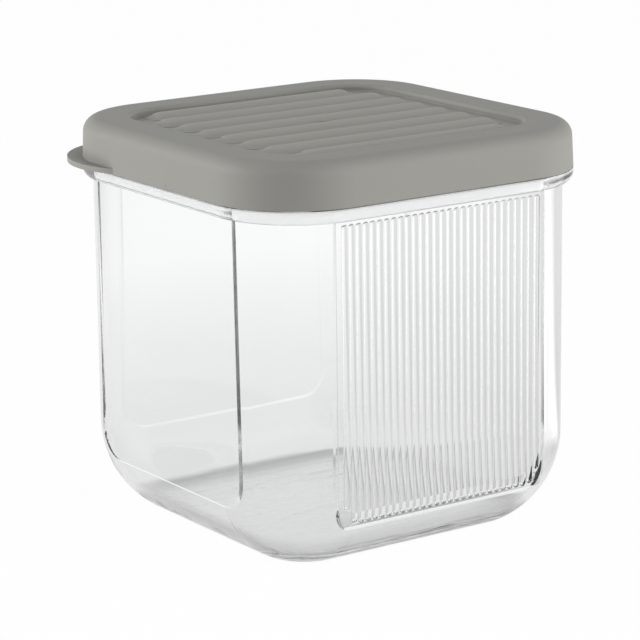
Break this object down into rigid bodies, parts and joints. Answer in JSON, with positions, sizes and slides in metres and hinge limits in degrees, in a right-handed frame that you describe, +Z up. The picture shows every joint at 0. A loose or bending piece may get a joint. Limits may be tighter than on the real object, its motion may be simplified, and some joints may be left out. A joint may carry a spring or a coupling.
{
  "type": "airtight food container",
  "caption": "Square clear tub with soft corners and a fluted front, closed by a plug-in lid with a ribbed top, a corner pull tab and a silicone seal.",
  "frame": {"origin": "middle of the flat underside, on the surface the container stands on", "axes": "+Z up out of the mouth, -Y towards the fluted front face, +X to the right seen from that front; the pull tab is at the -X, +Y corner and the lid's ribs run along X"},
  "size_m": [0.111, 0.111, 0.109],
  "materials": {
    "clear_plastic": "clear, high gloss, slightly satin inside",
    "lid_plastic": "fine matte, warm grey",
    "silicone": "translucent milky silicone, soft matte"
  },
  "bodies": {
    "container": {"container_body": "clear_plastic"},
    "lid": {"lid": "lid_plastic", "seal_ring": "silicone"}
  },
  "joints": [
    {"name": "lid_lift", "type": "slide", "parent": "container", "child": "lid", "axis": [0, 0, 1], "range_m": [0, 0.06]}
  ]
}
